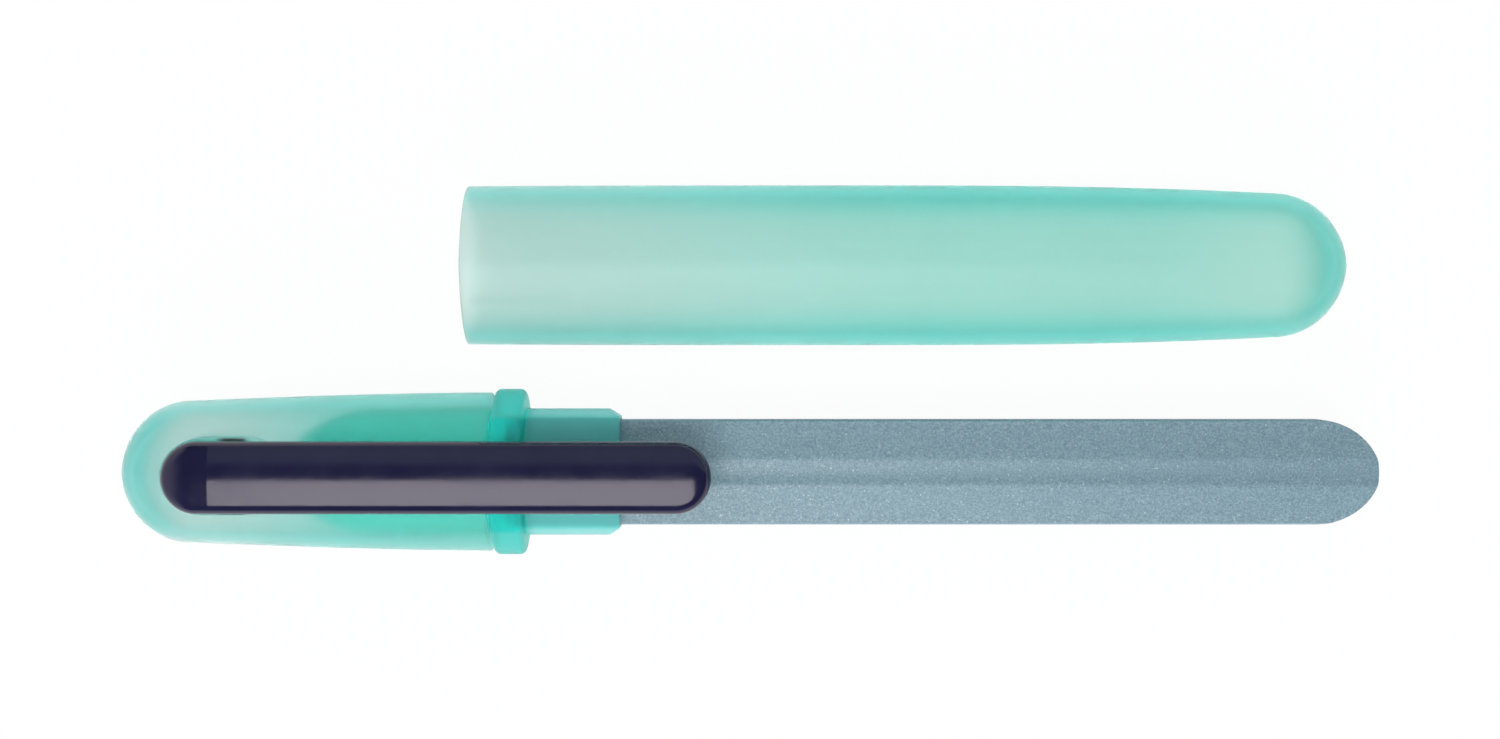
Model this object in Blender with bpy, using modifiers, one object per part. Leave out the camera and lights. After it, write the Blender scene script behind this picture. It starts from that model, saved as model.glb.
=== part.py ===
# A pocket nail file with a ceramic blade. A hollow handle takes a neck insert, the insert
# grips the blade, a spring clip sits in a socket on the handle, and a pull-off cap lies beside.
# Metres, +Z up. X runs from the handle's round end to the blade's tip, and the origin is
# under the middle of what lies on the table.

import math

import bmesh
import bpy
from mathutils import Matrix, Vector

mm = 0.001

# Whole object
file_length = 140.0 * mm            # handle's round end to the blade's tip
cap_lay_spacing = 23.1 * mm         # from the handle's axis to the axis of the cap beside it
cap_lay_ahead = 38.4 * mm           # from the handle's round end to the mouth of the cap beside it

# Lens section that handle, collar, neck and cap share
section_power_share = 1.7           # power of the rounded lens, where 2 is an ellipse
section_sides = 50                  # twice an odd number, so top and belly have a flat land

# Handle, measured from its round end
handle_length = 41.3 * mm
handle_mouth_width = 17.7 * mm
handle_mouth_thickness = 11.4 * mm
handle_shoulder_width = 15.85 * mm
handle_shoulder_thickness = 10.2 * mm
handle_nose_length = 7.6 * mm
handle_bow_share = 1.6
handle_wall = 1.5 * mm
handle_end_wall = 2.4 * mm          # the thicker wall at the round end

# Cap, measured from its round end
cap_length = 98.4 * mm
cap_mouth_width = 17.73 * mm
cap_mouth_thickness = 11.4 * mm
cap_waist_width = 17.93 * mm
cap_waist_thickness = 11.54 * mm
cap_shoulder_width = 16.17 * mm
cap_shoulder_thickness = 10.4 * mm
cap_nose_length = 8.1 * mm
cap_waist_start = 50.4 * mm
cap_waist_end = 72.4 * mm
cap_bow_share = 2.5
cap_flare_share = 2.0
cap_wall = 1.5 * mm
cap_end_wall = 2.6 * mm             # the thicker wall at the round end
cap_rib_length = 9.5 * mm
cap_rib_width = 0.6 * mm
cap_rib_height = 0.15 * mm
cap_rib_spacing = 8.0 * mm
cap_rib_setback = 1.0 * mm

# Neck insert
seam_gap = 0.3 * mm                 # between the handle's mouth and the collar
plug_gap = 0.3 * mm                 # round the plug inside the handle
cap_gap = 0.3 * mm                  # round the neck inside the cap
plug_length = 23.0 * mm
plug_nose_length = 10.4 * mm
collar_length = 3.5 * mm
collar_width = 18.5 * mm
collar_thickness = 12.6 * mm
collar_edge_radius = 0.35 * mm
neck_length = 10.5 * mm
neck_chamfer_length = 1.25 * mm
neck_chamfer_depth = 0.9 * mm

# Ceramic blade
blade_width = 11.7 * mm
blade_rim_thickness = 3.0 * mm
blade_edge_thickness = 1.8 * mm
blade_edge_bevel = 0.2 * mm
blade_hollow_share = 1.6            # power of the hollow-ground faces, where 1 is flat
blade_tip_length = 7.0 * mm
groove_width = 3.1 * mm
groove_depth = 0.22 * mm
blade_rim_radius = 0.15 * mm        # along the outline, where the faces meet the sides
tang_depth = 12.6 * mm              # how far the blade reaches into the insert
tang_corner = 1.0 * mm
blade_gap = 0.15 * mm               # round the tang in its slot

# Clip, measured from the handle's round end
clip_start = 6.8 * mm
clip_reach = 20.8 * mm              # from the collar's far face to the clip's free end
clip_width = 7.8 * mm
clip_thickness = 1.9 * mm
clip_collar_gap = 0.35 * mm         # between the collar's top and the clip's underside
clip_edge_radius = 0.85 * mm
clip_under_edge = 0.2 * mm
clip_crown = 0.25 * mm
clip_tail_length = 6.2 * mm         # the tail's rounding seen from above
clip_ramp_length = 5.5 * mm         # the tail's flat ramp, seen from the side
clip_ramp_drop = 0.25 * mm
clip_roll_length = 1.7 * mm         # how long the ramp's end rolls down
clip_roll_drop = 1.0 * mm
clip_pivot_setback = 0.5 * mm       # from the tail to the line that the clip rocks about
grip_land_setback = 1.9 * mm        # from the collar to the land that grips a pocket's hem
grip_land_length = 10.0 * mm
grip_land_height = 0.1 * mm         # how far the land stands below the clip's underside
grip_land_ramp = 0.5 * mm
bead_setback = 3.6 * mm
bead_length = 4.0 * mm
bead_width = 4.8 * mm
bead_height = 0.55 * mm

# Seat for the clip on the handle
seat_margin = 0.5 * mm              # how far the seat stands out behind the clip's tail
seat_length = 12.1 * mm
seat_brim = 0.25 * mm               # how far the seat stands out on each side of the clip
seat_gap = 0.3 * mm                 # between the seat's top and the clip's underside
seat_edge_radius = 0.35 * mm
seat_tail_length = 4.6 * mm
seat_root_depth = 4.0 * mm
foot_setback = 2.2 * mm             # from the clip's tail to its foot
foot_length = 7.0 * mm
foot_width = 5.4 * mm
foot_gap = 0.3 * mm                 # round the foot in its socket
foot_edge_radius = 0.25 * mm
socket_depth = 1.8 * mm
lug_setback = 3.9 * mm              # from the foot's rear to its lugs
lug_length = 2.3 * mm
lug_height = 0.4 * mm
lug_reach = 0.9 * mm
window_gap = 0.3 * mm               # round each lug in its window
window_bridge = 0.5 * mm            # material left over the window

# Fineness of the round forms
nose_steps = 8
bow_steps = 6
edge_steps = 3
groove_steps = 8
blade_face_steps = 4
tip_steps = 16
seat_steps = 9
clip_arc_steps = 4
clip_crown_steps = 3
clip_end_steps = 7
clip_tail_steps = 7
overrun = 1.0 * mm                  # how far a cutter passes the face that it cuts
weld_distance = 0.0001 * mm
sharp_angle = math.radians(35)
bevel_angle = math.radians(60)

# Places that follow from the sizes
handle_axis_z = collar_thickness / 2
cap_axis_z = cap_waist_thickness / 2
handle_axis_y = -(cap_lay_spacing + cap_waist_width / 2 - collar_width / 2) / 2
cap_axis_y = handle_axis_y + cap_lay_spacing
handle_x = -file_length / 2
cap_nose_x = handle_x + cap_lay_ahead + cap_length
collar_start = handle_length + seam_gap
collar_end = collar_start + collar_length
neck_end = collar_end + neck_length
clip_end = collar_end + clip_reach
clip_pivot_x = clip_start + clip_pivot_setback
clip_underside = collar_thickness / 2 + clip_collar_gap
grip_land_start = collar_end + grip_land_setback
grip_land_end = grip_land_start + grip_land_length
seat_start = clip_start - seat_margin
seat_end = seat_start + seat_length
seat_width = clip_width + 2 * seat_brim
seat_top = clip_underside - seat_gap
foot_start = clip_start + foot_setback
foot_end = foot_start + foot_length
socket_floor = seat_top - socket_depth
lug_start = foot_start + lug_setback
lug_end = lug_start + lug_length
lug_top = seat_top - window_bridge - window_gap


def make_material(name, color, roughness, metallic=0.0, transmission=0.0):
    material = bpy.data.materials.new(name)
    material.use_nodes = True
    shader = material.node_tree.nodes["Principled BSDF"]
    shader.inputs["Base Color"].default_value = (*color, 1.0)
    shader.inputs["Roughness"].default_value = roughness
    shader.inputs["Metallic"].default_value = metallic
    shader.inputs["Transmission Weight"].default_value = transmission
    material.diffuse_color = (*color, 1.0)
    return material


def clear_scene():
    for thing in list(bpy.data.objects):
        bpy.data.objects.remove(thing, do_unlink=True)


def make_collection(name):
    collection = bpy.data.collections.new(name)
    bpy.context.scene.collection.children.link(collection)
    return collection


def make_empty(name, place, collection):
    empty = bpy.data.objects.new(name, None)
    empty.location = place
    collection.objects.link(empty)
    return empty


def add_object(name, mesh, parent, collection, material=None):
    thing = bpy.data.objects.new(name, mesh)
    thing.parent = parent
    collection.objects.link(thing)
    if material:
        mesh.materials.append(material)
    else:
        thing.display_type = "WIRE"
        thing.hide_render = True
    return thing


def mesh_from(name, bm):
    bmesh.ops.recalc_face_normals(bm, faces=bm.faces)
    mesh = bpy.data.meshes.new(name)
    bm.to_mesh(mesh)
    bm.free()
    mesh.shade_smooth()
    mesh.set_sharp_from_angle(angle=sharp_angle)
    return mesh


def join(target, other, operation):
    modifier = target.modifiers.new(operation.lower() + "_" + other.name, "BOOLEAN")
    modifier.operation = operation
    modifier.solver = "EXACT"
    modifier.object = other


def swept_mesh(name, rings, tip_first=None, tip_last=None):
    """A solid through rings of points: a circle's face is extruded from ring to ring."""
    bm = bmesh.new()
    bmesh.ops.create_circle(bm, cap_ends=True, segments=len(rings[0]), radius=1.0)
    bm.faces.ensure_lookup_table()
    first = face = bm.faces[0]
    place_ring(face, rings[0])
    for ring in rings[1:]:
        grown = bmesh.ops.extrude_face_region(bm, geom=[face])["geom"]
        if face is not first:
            bmesh.ops.delete(bm, geom=[f for f in [face] if f.is_valid], context="FACES_ONLY")
        face = next(item for item in grown if isinstance(item, bmesh.types.BMFace))
        place_ring(face, ring)
    for end, tip in ((first, tip_first), (face, tip_last)):
        if tip is not None:
            middle = bmesh.ops.poke(bm, faces=[end])["verts"][0]
            middle.co = tip
    return mesh_from(name, bm)


def place_ring(face, ring):
    for vertex, point in zip(face.verts, ring):
        vertex.co = point


def lens_ring(x, half_width, half_thickness, width_limit=None):
    """One lens section across X. A width limit cuts its two sharp sides off."""
    step = 2 * math.pi / section_sides
    power = 2 / section_power_share
    land = math.cos(step / 2) ** power
    ring = []
    for side in range(section_sides):
        cosine = math.cos(side * step)
        sine = math.sin(side * step)
        y = half_width * math.copysign(abs(cosine) ** power, cosine)
        z = half_thickness * math.copysign(abs(sine) ** power, sine) / land
        if width_limit is not None:
            y = max(-width_limit, min(width_limit, y))
        ring.append(Vector((x, y, z)))
    return ring


def sleeve_form(length, nose, waist_start, waist_end, shoulder, waist, mouth, bow, flare=1.0):
    """The outer form of a closed sleeve, as half width and half thickness along its length."""

    def half_sizes(distance, inset, tip=0.0):
        if distance <= nose:
            curve = (nose - distance) / (nose - tip)
            swell = math.sqrt(max(0.0, 1 - curve**2))
            return [(size / 2 - inset) * swell for size in shoulder]
        if distance < waist_start:
            lean = ((waist_start - distance) / (waist_start - nose)) ** bow
            return [(w - (w - s) * lean) / 2 - inset for w, s in zip(waist, shoulder)]
        if distance <= waist_end:
            return [w / 2 - inset for w in waist]
        lean = ((distance - waist_end) / (length - waist_end)) ** flare
        return [(w - (w - m) * lean) / 2 - inset for w, m in zip(waist, mouth)]

    return half_sizes


handle_half_sizes = sleeve_form(
    handle_length,
    handle_nose_length,
    handle_length,
    handle_length,
    (handle_shoulder_width, handle_shoulder_thickness),
    (handle_mouth_width, handle_mouth_thickness),
    (handle_mouth_width, handle_mouth_thickness),
    handle_bow_share,
)
cap_half_sizes = sleeve_form(
    cap_length,
    cap_nose_length,
    cap_waist_start,
    cap_waist_end,
    (cap_shoulder_width, cap_shoulder_thickness),
    (cap_waist_width, cap_waist_thickness),
    (cap_mouth_width, cap_mouth_thickness),
    cap_bow_share,
    cap_flare_share,
)


def nose_distances(start, end):
    """Distances along a round nose, close together at its tip."""
    turn = math.pi / 2 / nose_steps
    return [start + (end - start) * (1 - math.cos(i * turn)) for i in range(1, nose_steps + 1)]


def even_distances(start, end, steps):
    return [start + (end - start) * i / steps for i in range(1, steps + 1)]


def sleeve_rings(half_sizes, distances, inset, tip):
    return [lens_ring(d, *half_sizes(d, inset, tip)) for d in distances]


def sleeve_pair(name, half_sizes, bends, wall, end_wall, parent, parts, cutters, material):
    """A closed sleeve, cut hollow by a core that runs out of its mouth."""
    nose, mouth = bends[0], bends[-1]
    runs = []
    for start, end in zip(bends, bends[1:]):
        runs += even_distances(start, end, bow_steps if end - start > nose else 1)
    outer = sleeve_rings(half_sizes, nose_distances(0.0, nose) + runs, 0.0, 0.0)
    inner = sleeve_rings(half_sizes, nose_distances(end_wall, nose) + runs, wall, end_wall)
    inner.append(lens_ring(mouth + overrun, *half_sizes(mouth, wall)))
    shell = add_object(
        name, swept_mesh(name, outer, Vector((0.0, 0.0, 0.0))), parent, parts, material
    )
    core_mesh = swept_mesh(name + "_core", inner, Vector((end_wall, 0.0, 0.0)))
    core = add_object(name + "_core", core_mesh, parent, cutters)
    return shell, core


def prism(name, outline, low, high, turn, parent, collection, material=None):
    """A flat outline given thickness, from low to high across its own plane."""
    curve = bpy.data.curves.new(name, "CURVE")
    curve.dimensions = "2D"
    curve.fill_mode = "BOTH"
    curve.extrude = (high - low) / 2
    spline = curve.splines.new("POLY")
    spline.points.add(len(outline) - 1)
    for point, (u, v) in zip(spline.points, outline):
        point.co = (u, v, 0.0, 1.0)
    spline.use_cyclic_u = True
    source = bpy.data.objects.new(name + "_outline", curve)
    collection.objects.link(source)
    bpy.context.view_layer.update()
    evaluated = source.evaluated_get(bpy.context.evaluated_depsgraph_get())
    mesh = bpy.data.meshes.new_from_object(evaluated)
    bpy.data.objects.remove(source, do_unlink=True)
    bm = bmesh.new()
    bm.from_mesh(mesh)
    bmesh.ops.remove_doubles(bm, verts=bm.verts, dist=weld_distance)
    bmesh.ops.translate(bm, verts=bm.verts, vec=(0.0, 0.0, (low + high) / 2))
    bmesh.ops.transform(bm, verts=bm.verts, matrix=turn)
    return add_object(name, mesh_from(name, bm), parent, collection, material)


# Turns that lay an outline across X, or flat on the table
across_x = Matrix(((0, 0, 1, 0), (1, 0, 0, 0), (0, 1, 0, 0), (0, 0, 0, 1)))
flat = Matrix.Identity(4)


def block(name, low, high, parent, collection):
    """A box between two corners."""
    bm = bmesh.new()
    bmesh.ops.create_cube(bm, size=1.0)
    size = [b - a for a, b in zip(low, high)]
    middle = [(a + b) / 2 for a, b in zip(low, high)]
    bmesh.ops.scale(bm, verts=bm.verts, vec=size)
    bmesh.ops.translate(bm, verts=bm.verts, vec=middle)
    return add_object(name, mesh_from(name, bm), parent, collection)


def round_edges(thing, width, segments):
    modifier = thing.modifiers.new("round_edges", "BEVEL")
    modifier.width = width
    modifier.segments = segments
    modifier.limit_method = "ANGLE"
    modifier.angle_limit = bevel_angle


def build_handle(frame, parts, cutters):
    """The hollow handle, with the raised seat and the socket that hold the clip."""
    material = make_material("handle_mint", (0.36, 0.78, 0.68), 0.35, transmission=0.5)
    shell, core = sleeve_pair(
        "handle_shell",
        handle_half_sizes,
        (handle_nose_length, handle_length),
        handle_wall,
        handle_end_wall,
        frame,
        parts,
        cutters,
        material,
    )
    seat = prism(
        "seat_form", seat_outline(), seat_top - seat_root_depth, seat_top, flat, frame, cutters
    )
    round_edges(seat, seat_edge_radius, 2)
    socket = block(
        "socket_cut",
        (foot_start - foot_gap, -foot_width / 2 - foot_gap, socket_floor),
        (foot_end + foot_gap, foot_width / 2 + foot_gap, seat_top + overrun),
        frame,
        cutters,
    )
    window_half = seat_width / 2 + overrun
    window = block(
        "window_cut",
        (lug_start - window_gap, -window_half, lug_top - lug_height - window_gap),
        (lug_end + window_gap, window_half, lug_top + window_gap),
        frame,
        cutters,
    )
    join(shell, seat, "UNION")
    join(shell, core, "DIFFERENCE")
    join(shell, socket, "DIFFERENCE")
    join(shell, window, "DIFFERENCE")
    return shell


def seat_outline():
    """The seat from above: a long round tail, and a front end with quarter-round corners."""
    half = seat_width / 2
    corner = half / 2
    points = []
    turns = 2 * seat_steps
    for i in range(turns + 1):
        angle = math.pi / 2 + math.pi * i / turns
        x = seat_start + seat_tail_length + seat_tail_length * math.cos(angle)
        points.append((x, half * math.sin(angle)))
    for i in range(edge_steps + 1):
        angle = -math.pi / 2 + math.pi / 2 * i / edge_steps
        x = seat_end - corner + corner * math.cos(angle)
        points.append((x, -half + corner + corner * math.sin(angle)))
    for i in range(edge_steps + 1):
        angle = math.pi / 2 * i / edge_steps
        x = seat_end - corner + corner * math.cos(angle)
        points.append((x, half - corner + corner * math.sin(angle)))
    return points


def build_insert(frame, parts, cutters):
    """One moulding: a round-nosed plug in the handle, a collar, and a neck for the cap."""
    material = make_material("insert_teal", (0.10, 0.60, 0.52), 0.35, transmission=0.4)
    plug_start = handle_length - plug_length
    plug_shoulder = plug_start + plug_nose_length
    inset = handle_wall + plug_gap
    shoulder = handle_half_sizes(plug_shoulder, inset)
    rings = []
    for distance in nose_distances(plug_start, plug_shoulder):
        curve = (plug_shoulder - distance) / plug_nose_length
        swell = math.sqrt(max(0.0, 1 - curve**2))
        rings.append(lens_ring(distance, *[size * swell for size in shoulder]))
    for distance in even_distances(plug_shoulder, handle_length, edge_steps):
        rings.append(lens_ring(distance, *handle_half_sizes(distance, inset)))
    rings.append(lens_ring(collar_start, *handle_half_sizes(handle_length, inset)))
    rings += collar_rings()
    neck = cap_half_sizes(cap_length, cap_wall + cap_gap)
    rings.append(lens_ring(collar_end, *neck))
    rings.append(lens_ring(neck_end - neck_chamfer_length, *neck))
    rings.append(lens_ring(neck_end, *neck, width_limit=neck[0] - neck_chamfer_depth))
    mesh = swept_mesh("neck_insert", rings, Vector((plug_start, 0.0, 0.0)))
    insert = add_object("neck_insert", mesh, frame, parts, material)
    slot = prism(
        "slot_cut",
        blade_section(blade_gap, False),
        neck_end - tang_depth - blade_gap,
        neck_end + overrun,
        across_x,
        frame,
        cutters,
    )
    join(insert, slot, "DIFFERENCE")
    return insert


def collar_rings():
    """The collar between its two faces, with quarter-round edges."""
    rings = []
    turns = [math.pi / 2 * i / edge_steps for i in range(edge_steps + 1)]
    for turn in turns:
        fall = collar_edge_radius * (1 - math.sin(turn))
        x = collar_start + collar_edge_radius * (1 - math.cos(turn))
        rings.append(lens_ring(x, collar_width / 2 - fall, collar_thickness / 2 - fall))
    for turn in reversed(turns):
        fall = collar_edge_radius * (1 - math.sin(turn))
        x = collar_end - collar_edge_radius * (1 - math.cos(turn))
        rings.append(lens_ring(x, collar_width / 2 - fall, collar_thickness / 2 - fall))
    return rings


def blade_section(grow, grooved):
    """The blade across its length: two low hollow-ground roofs, grooved along each ridge."""
    half = blade_width / 2 + grow
    edge = blade_edge_thickness / 2 + grow
    rim = blade_rim_thickness / 2 + grow
    channel = groove_width / 2
    face = []
    groove = []
    if grooved:
        for i in range(1, blade_face_steps):
            share = i / blade_face_steps
            y = (half - blade_edge_bevel) * (1 - share) + channel * share
            face.append((y, edge + (rim - edge) * share**blade_hollow_share))
        for i in range(1, groove_steps):
            share = 1 - 2 * i / groove_steps
            groove.append((channel * share, rim - groove_depth * (1 - share**2)))
    right = [(half, edge - blade_edge_bevel), (half - blade_edge_bevel, edge)]
    right += face + [(channel, rim)]
    upper = right + groove + [(-y, z) for y, z in reversed(right)]
    return upper + [(-y, -z) for y, z in upper]


def blade_outline():
    """The blade from above: a tang with cut corners and an elliptic tip."""
    half = blade_width / 2
    start = neck_end - tang_depth
    straight_end = file_length - blade_tip_length
    points = [(start, -half + tang_corner), (start + tang_corner, -half)]
    for i in range(2 * tip_steps + 1):
        angle = -math.pi / 2 + math.pi * i / (2 * tip_steps)
        x = straight_end + blade_tip_length * math.cos(angle)
        points.append((x, half * math.sin(angle)))
    points += [(start + tang_corner, half), (start, half - tang_corner)]
    return points


def build_blade(frame, parts, cutters):
    """A grooved ceramic bar, cut to the outline that is seen from above."""
    material = make_material("blade_ceramic", (0.27, 0.40, 0.46), 0.75)
    blade = prism(
        "file_blade",
        blade_section(0.0, True),
        neck_end - tang_depth - overrun,
        file_length + overrun,
        across_x,
        frame,
        parts,
        material,
    )
    outline = prism(
        "blade_outline_cut",
        blade_outline(),
        -blade_rim_thickness,
        blade_rim_thickness,
        flat,
        frame,
        cutters,
    )
    join(blade, outline, "INTERSECT")
    round_edges(blade, blade_rim_radius, 2)
    return blade


def clip_ring(x, half_width, bottom, top, radius):
    """The clip across its length: flat below, with round upper edges and a low crown."""
    under = min(clip_under_edge, half_width / 4, (top - bottom) / 4)
    bend = min(radius, half_width / 2, (top - bottom) / 2)
    crown = clip_crown * half_width / (clip_width / 2)
    right = [(half_width - under, bottom), (half_width, bottom + under)]
    for i in range(clip_arc_steps + 1):
        angle = math.pi / 2 * i / clip_arc_steps
        y = half_width - bend + bend * math.cos(angle)
        right.append((y, top - crown - bend + bend * math.sin(angle)))
    for i in range(1, clip_crown_steps):
        share = 1 - i / clip_crown_steps
        right.append(((half_width - bend) * share, top - crown * share**2))
    left = [(-y, z) for y, z in reversed(right)]
    return [Vector((x, y, z)) for y, z in right + [(0.0, top)] + left]


def clip_rings():
    """Rings from the ramped and rolled tail, along the bar, to the round free end."""
    half = clip_width / 2
    top = clip_underside + clip_thickness
    rings = []
    turn = math.pi / 2 / clip_tail_steps
    for i in range(1, clip_tail_steps + 1):
        back = math.cos(i * turn)
        x = clip_start + clip_tail_length * (1 - back)
        ramp = max(0.0, 1 - (x - clip_start) / clip_ramp_length)
        roll = max(0.0, 1 - (x - clip_start) / clip_roll_length)
        fall = clip_ramp_drop * ramp + clip_roll_drop * (1 - math.sqrt(1 - roll**2))
        width = half * math.sqrt(1 - back**2)
        rings.append(clip_ring(x, width, clip_underside, top - fall, clip_edge_radius))
    for x, lift in (
        (grip_land_start - grip_land_ramp, grip_land_height),
        (grip_land_start, 0.0),
        (grip_land_end, 0.0),
        (grip_land_end + grip_land_ramp, grip_land_height),
    ):
        bottom = clip_underside - grip_land_height + lift
        rings.append(clip_ring(x, half, bottom, top, clip_edge_radius))
    turn = math.pi / 2 / clip_end_steps
    for i in range(clip_end_steps):
        x = clip_end - half + half * math.sin(i * turn)
        width = half * math.cos(i * turn)
        short = max(0.0, clip_edge_radius - (clip_end - x))
        fall = clip_edge_radius - math.sqrt(clip_edge_radius**2 - short**2)
        rings.append(clip_ring(x, width, clip_underside, top - fall, clip_edge_radius))
    return rings


def build_clip(frame, parts, cutters):
    """The clip in one piece: bar, bead under its free end, and a foot with two lugs."""
    material = make_material("clip_navy", (0.015, 0.015, 0.05), 0.15)
    middle = clip_underside + (clip_thickness - clip_edge_radius) / 2
    tail_thickness = clip_thickness - clip_ramp_drop - clip_roll_drop
    tail = Vector((clip_start, 0.0, clip_underside + tail_thickness / 2))
    free_end = Vector((clip_end, 0.0, middle))
    mesh = swept_mesh("pocket_clip", clip_rings(), tail, free_end)
    pivot = make_empty("clip_pivot", (clip_pivot_x, 0.0, clip_underside), cutters)
    pivot.parent = frame
    clip = add_object("pocket_clip", mesh, pivot, parts, material)
    mesh.transform(Matrix.Translation((-clip_pivot_x, 0.0, -clip_underside)))
    foot = block(
        "foot_form",
        (foot_start, -foot_width / 2, socket_floor + foot_gap),
        (foot_end, foot_width / 2, clip_underside + clip_under_edge),
        frame,
        cutters,
    )
    round_edges(foot, foot_edge_radius, 2)
    lug_half = foot_width / 2 + lug_reach
    lugs = block(
        "lug_form",
        (lug_start, -lug_half, lug_top - lug_height),
        (lug_end, lug_half, lug_top),
        frame,
        cutters,
    )
    join(clip, foot, "UNION")
    join(clip, lugs, "UNION")
    join(clip, bead_form(frame, cutters), "UNION")
    return clip


def bead_form(frame, cutters):
    """A flattened ball, half sunk in the clip's underside near its free end."""
    bm = bmesh.new()
    bmesh.ops.create_uvsphere(bm, u_segments=20, v_segments=10, radius=0.5)
    bmesh.ops.scale(bm, verts=bm.verts, vec=(bead_length, bead_width, 2 * bead_height))
    place = (clip_end - bead_setback - bead_length / 2, 0.0, clip_underside)
    bmesh.ops.translate(bm, verts=bm.verts, vec=place)
    return add_object("bead_form", mesh_from("bead_form", bm), frame, cutters)


def build_cap(frame, parts, cutters):
    """The pull-off cap, hollow, with four low grip ribs just inside its mouth."""
    material = make_material("cap_mint", (0.38, 0.80, 0.70), 0.35, transmission=0.5)
    cap, core = sleeve_pair(
        "cap",
        cap_half_sizes,
        (cap_nose_length, cap_waist_start, cap_waist_end, cap_length),
        cap_wall,
        cap_end_wall,
        frame,
        parts,
        cutters,
        material,
    )
    join(cap, core, "DIFFERENCE")
    for number, (side, face) in enumerate(((-1, -1), (-1, 1), (1, -1), (1, 1)), 1):
        join(cap, rib_form(number, side, face, frame, cutters), "UNION")
    return cap


def rib_form(number, side, face, frame, cutters):
    """One grip rib, rooted in the cap's wall."""
    half_width, half_thickness = cap_half_sizes(cap_length, cap_wall)
    share = cap_rib_spacing / 2 / half_width
    surface = half_thickness * (1 - share**section_power_share) ** (1 / section_power_share)
    y = side * cap_rib_spacing / 2
    z = sorted((face * (surface - cap_rib_height), face * (surface + cap_wall / 2)))
    return block(
        "rib_form_" + str(number),
        (cap_length - cap_rib_setback - cap_rib_length, y - cap_rib_width / 2, z[0]),
        (cap_length - cap_rib_setback, y + cap_rib_width / 2, z[1]),
        frame,
        cutters,
    )


def main():
    clear_scene()
    parts = make_collection("ceramic_nail_file")
    cutters = make_collection("cutters")
    handle_frame = make_empty("handle_frame", (handle_x, handle_axis_y, handle_axis_z), cutters)
    cap_frame = make_empty("cap_frame", (cap_nose_x, cap_axis_y, cap_axis_z), cutters)
    cap_frame.rotation_euler = (0.0, 0.0, math.pi)
    build_handle(handle_frame, parts, cutters)
    build_insert(handle_frame, parts, cutters)
    build_blade(handle_frame, parts, cutters)
    build_clip(handle_frame, parts, cutters)
    build_cap(cap_frame, parts, cutters)


main()
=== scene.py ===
# Looks of a pocket nail file: frosted cap and handle, neck insert, ceramic blade, spring clip
import math

import bmesh
import bpy
from mathutils import Matrix, Vector


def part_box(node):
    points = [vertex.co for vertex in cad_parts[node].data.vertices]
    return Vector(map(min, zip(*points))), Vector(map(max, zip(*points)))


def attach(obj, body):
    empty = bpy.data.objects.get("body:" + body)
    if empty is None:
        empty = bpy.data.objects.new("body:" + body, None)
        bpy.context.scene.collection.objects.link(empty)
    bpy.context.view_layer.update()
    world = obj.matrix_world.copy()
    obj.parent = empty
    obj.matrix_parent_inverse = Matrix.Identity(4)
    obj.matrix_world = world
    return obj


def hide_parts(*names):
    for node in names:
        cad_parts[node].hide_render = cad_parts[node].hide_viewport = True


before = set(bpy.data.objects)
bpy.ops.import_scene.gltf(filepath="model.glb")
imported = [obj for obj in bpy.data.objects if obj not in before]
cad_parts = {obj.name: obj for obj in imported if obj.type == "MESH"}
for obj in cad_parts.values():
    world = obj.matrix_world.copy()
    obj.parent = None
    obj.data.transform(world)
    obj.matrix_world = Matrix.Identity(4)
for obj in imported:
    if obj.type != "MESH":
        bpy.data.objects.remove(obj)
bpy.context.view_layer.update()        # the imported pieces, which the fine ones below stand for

mm = 0.001

# Places read from the frame
insertLow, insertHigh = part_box("neck_insert")
capLow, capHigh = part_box("cap")
handleLow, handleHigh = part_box("handle_shell")
fileAxis = Vector((handleLow.x, (insertLow.y + insertHigh.y) / 2, (insertLow.z + insertHigh.z) / 2))
capAxis = Vector((capHigh.x, (capLow.y + capHigh.y) / 2, (capLow.z + capHigh.z) / 2))
# In both frames x counts from the round end
fileFrame = Matrix.Translation(fileAxis)
capFrame = Matrix.Translation(capAxis) @ Matrix.Rotation(math.pi, 4, "Z")


# Mesh helpers

# Points closer than merge are one, and a cutter runs past a face by the overrun
meshing = dict(merge=0.0005 * mm, sharpAngle=30.0, edgeSteps=3, overrun=1.0 * mm)


def edgesOf(geometry):
    return [item for item in geometry if isinstance(item, bmesh.types.BMEdge)]


def pointsOf(geometry):
    return [item for item in geometry if isinstance(item, bmesh.types.BMVert)]


def vertsOf(edges):
    return list(dict.fromkeys(vert for edge in edges for vert in edge.verts))


def growLoop(bm, loop):
    # a new loop of edges on top of the last one
    return edgesOf(bmesh.ops.extrude_edge_only(bm, edges=loop)["geom"])


def closeLoop(bm, loop, tip=None):
    # a face over a loop, drawn to a tip where the end is round
    face = bmesh.ops.contextual_create(bm, geom=loop)["faces"][0]
    if tip is not None:
        bmesh.ops.poke(bm, faces=[face])["verts"][0].co = tip


def cutAcross(bm, place, direction, drop=True):
    # cuts along a plane, drops what lies ahead of it where asked, and gives the new edges
    geometry = bm.verts[:] + bm.edges[:] + bm.faces[:]
    cut = bmesh.ops.bisect_plane(bm, geom=geometry, plane_co=place, plane_no=direction, clear_outer=drop)
    return edgesOf(cut["geom_cut"])


def roundEdges(bm, edges, radius, steps):
    bmesh.ops.bevel(bm, geom=edges, offset=radius, segments=steps, profile=0.5, affect="EDGES", material=-1)


def addObject(name, data, place=(0.0, 0.0, 0.0)):
    thing = bpy.data.objects.new(name, data)
    thing.location = place
    bpy.context.scene.collection.objects.link(thing)
    return thing


def smoothFaces(mesh, sharpAngle):
    mesh.shade_smooth()
    mesh.set_sharp_from_angle(angle=math.radians(sharpAngle))


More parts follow.
